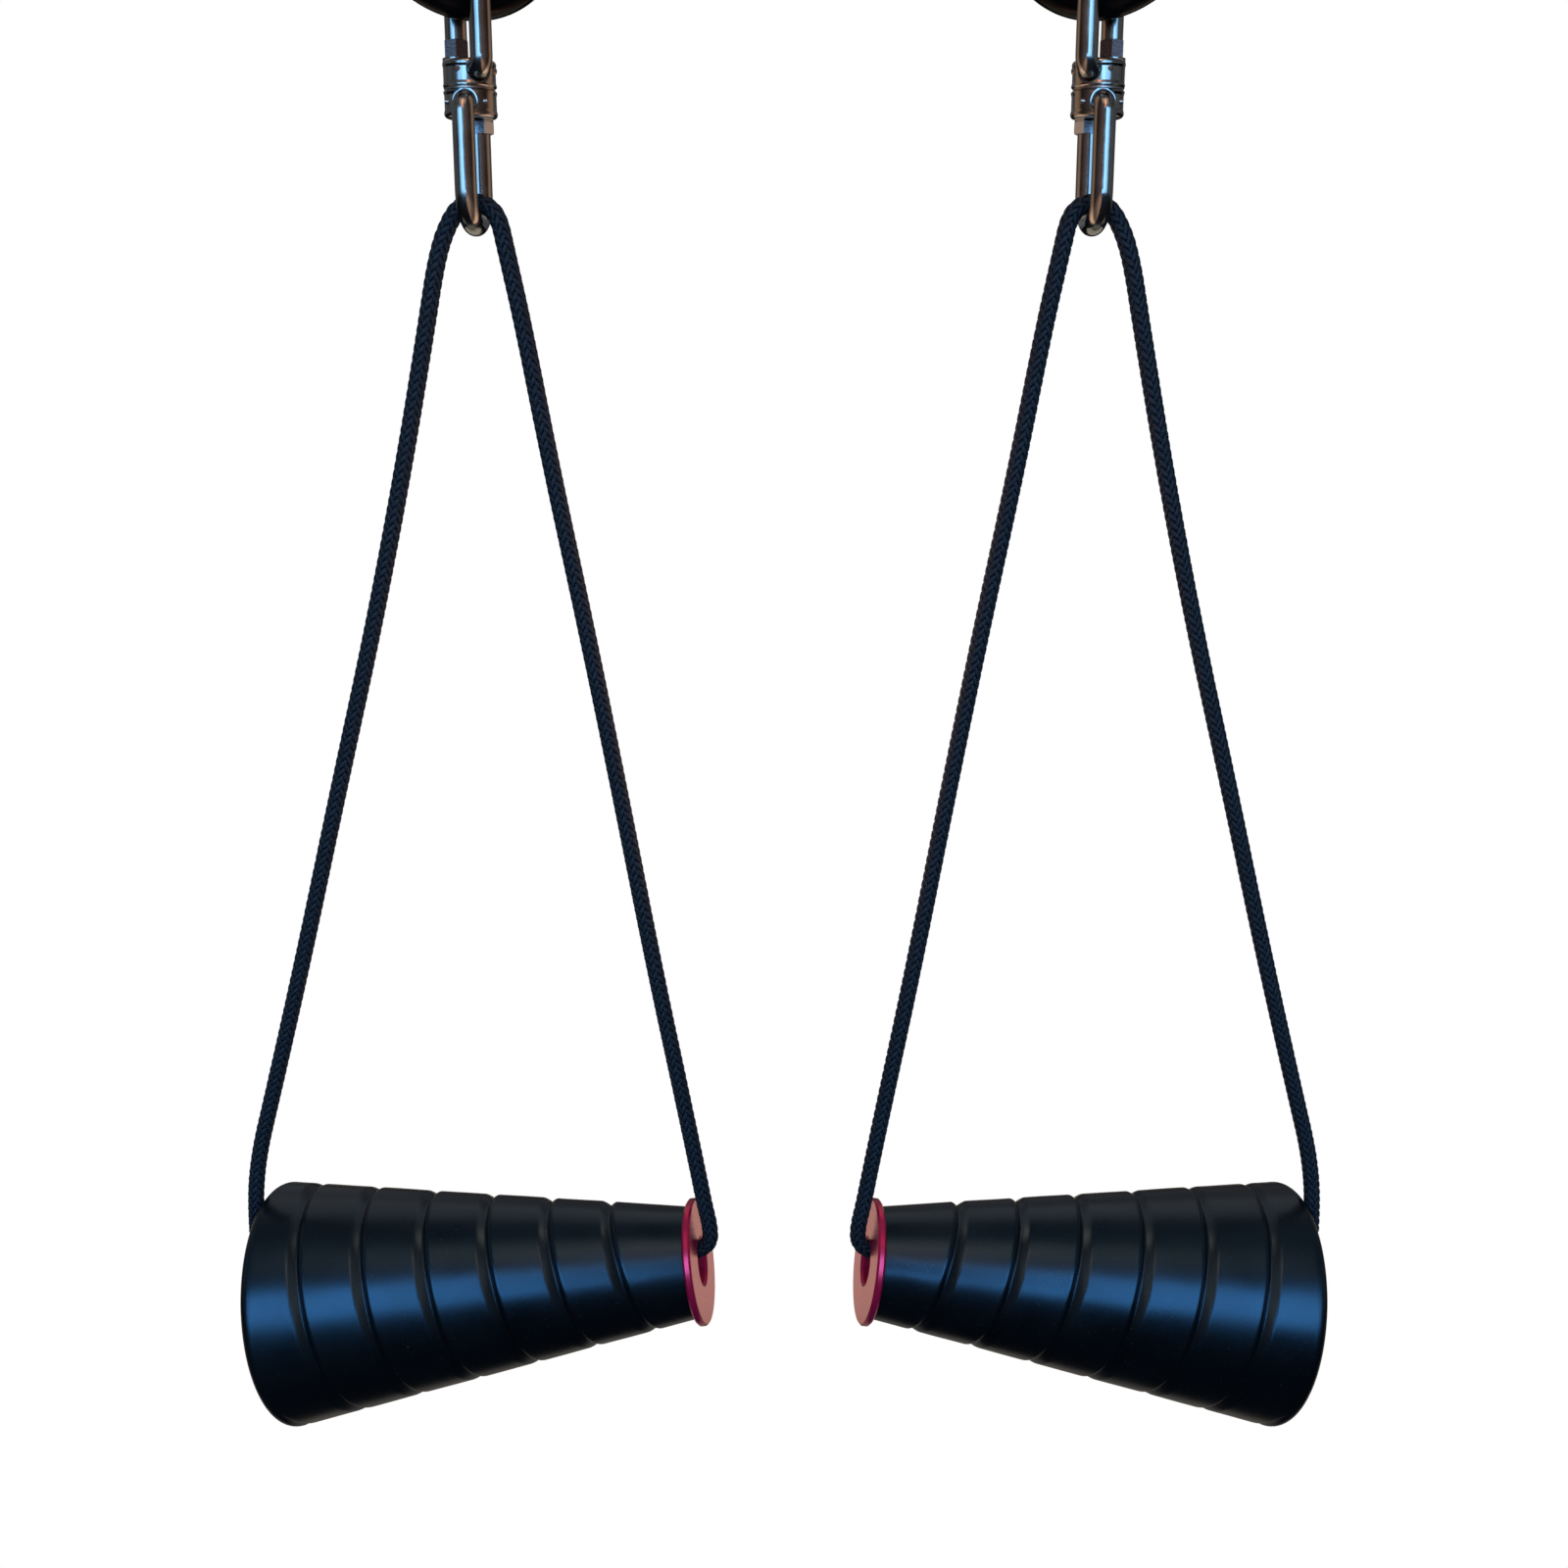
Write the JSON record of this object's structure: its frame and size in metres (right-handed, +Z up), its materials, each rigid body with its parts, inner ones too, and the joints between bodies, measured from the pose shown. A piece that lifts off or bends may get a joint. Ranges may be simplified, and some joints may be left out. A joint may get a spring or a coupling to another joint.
{
  "type": "hanging cone grips",
  "caption": "Pair of tapered rubber-covered hand grips, each hung by a braided cord loop from a steel swivel link on a black ring.",
  "frame": {"origin": "midway between the two hang points, which are the inner tops of the two rings", "axes": "+Z up, +X from the left grip to the right grip, -Y towards the user"},
  "size_m": [0.3414, 0.0755, 0.483],
  "materials": {
    "ring_black": "gloss",
    "polished_steel": "polished",
    "zinc_nut": "satin",
    "pin_steel": "satin",
    "cord_braid": "matte",
    "grip_rubber": "satin",
    "core_plastic": "matte",
    "anodised": "satin"
  },
  "bodies": {
    "rings": {"left_ring": "ring_black", "right_ring": "ring_black"},
    "left_upper_link": {"left_upper_bow": "polished_steel", "left_upper_collar": "polished_steel", "left_upper_cross_pin": "pin_steel", "left_upper_nut": "zinc_nut", "left_swivel_rivet": "pin_steel", "left_swivel_washer": "pin_steel"},
    "left_lower_link": {"left_lower_bow": "polished_steel", "left_lower_collar": "polished_steel", "left_lower_cross_pin": "pin_steel", "left_lower_nut": "zinc_nut"},
    "left_cord_loop": {"left_cord": "cord_braid", "left_knot": "cord_braid"},
    "left_grip": {"left_sleeve": "grip_rubber", "left_core": "core_plastic", "left_end_plug": "core_plastic", "left_small_bush": "anodised", "left_large_bush": "anodised"},
    "right_upper_link": {"right_upper_bow": "polished_steel", "right_upper_collar": "polished_steel", "right_upper_cross_pin": "pin_steel", "right_upper_nut": "zinc_nut", "right_swivel_rivet": "pin_steel", "right_swivel_washer": "pin_steel"},
    "right_lower_link": {"right_lower_bow": "polished_steel", "right_lower_collar": "polished_steel", "right_lower_cross_pin": "pin_steel", "right_lower_nut": "zinc_nut"},
    "right_cord_loop": {"right_cord": "cord_braid", "right_knot": "cord_braid"},
    "right_grip": {"right_sleeve": "grip_rubber", "right_core": "core_plastic", "right_end_plug": "core_plastic", "right_small_bush": "anodised", "right_large_bush": "anodised"}
  },
  "joints": [
    {"name": "left_ring_swing", "type": "hinge", "parent": "rings", "child": "left_upper_link", "pos_m": [-0.085, 0, -0.047], "axis": [0.848, 0.5299, 0], "range_deg": [-40, 40]},
    {"name": "left_swivel_turn", "type": "hinge", "parent": "left_upper_link", "child": "left_lower_link", "pos_m": [-0.085, 0, -0.0695], "axis": [0, 0, 1], "continuous": true},
    {"name": "left_cord_sway", "type": "hinge", "parent": "left_lower_link", "child": "left_cord_loop", "pos_m": [-0.085, 0, -0.1045], "axis": [0.0872, 0.9962, 0], "range_deg": [-5, 30]},
    {"name": "left_grip_spin", "type": "hinge", "parent": "left_cord_loop", "child": "left_grip", "pos_m": [-0.15951, 0.00652, -0.436], "axis": [0.9842, -0.0861, 0.1547], "continuous": true},
    {"name": "right_ring_swing", "type": "hinge", "parent": "rings", "child": "right_upper_link", "pos_m": [0.085, 0, -0.047], "axis": [-0.848, 0.5299, 0], "range_deg": [-40, 40]},
    {"name": "right_swivel_turn", "type": "hinge", "parent": "right_upper_link", "child": "right_lower_link", "pos_m": [0.085, 0, -0.0695], "axis": [0, 0, 1], "continuous": true},
    {"name": "right_cord_sway", "type": "hinge", "parent": "right_lower_link", "child": "right_cord_loop", "pos_m": [0.085, 0, -0.1045], "axis": [-0.0872, 0.9962, 0], "range_deg": [-30, 5]},
    {"name": "right_grip_spin", "type": "hinge", "parent": "right_cord_loop", "child": "right_grip", "pos_m": [0.15951, 0.00652, -0.436], "axis": [-0.9842, -0.0861, 0.1547], "continuous": true}
  ]
}
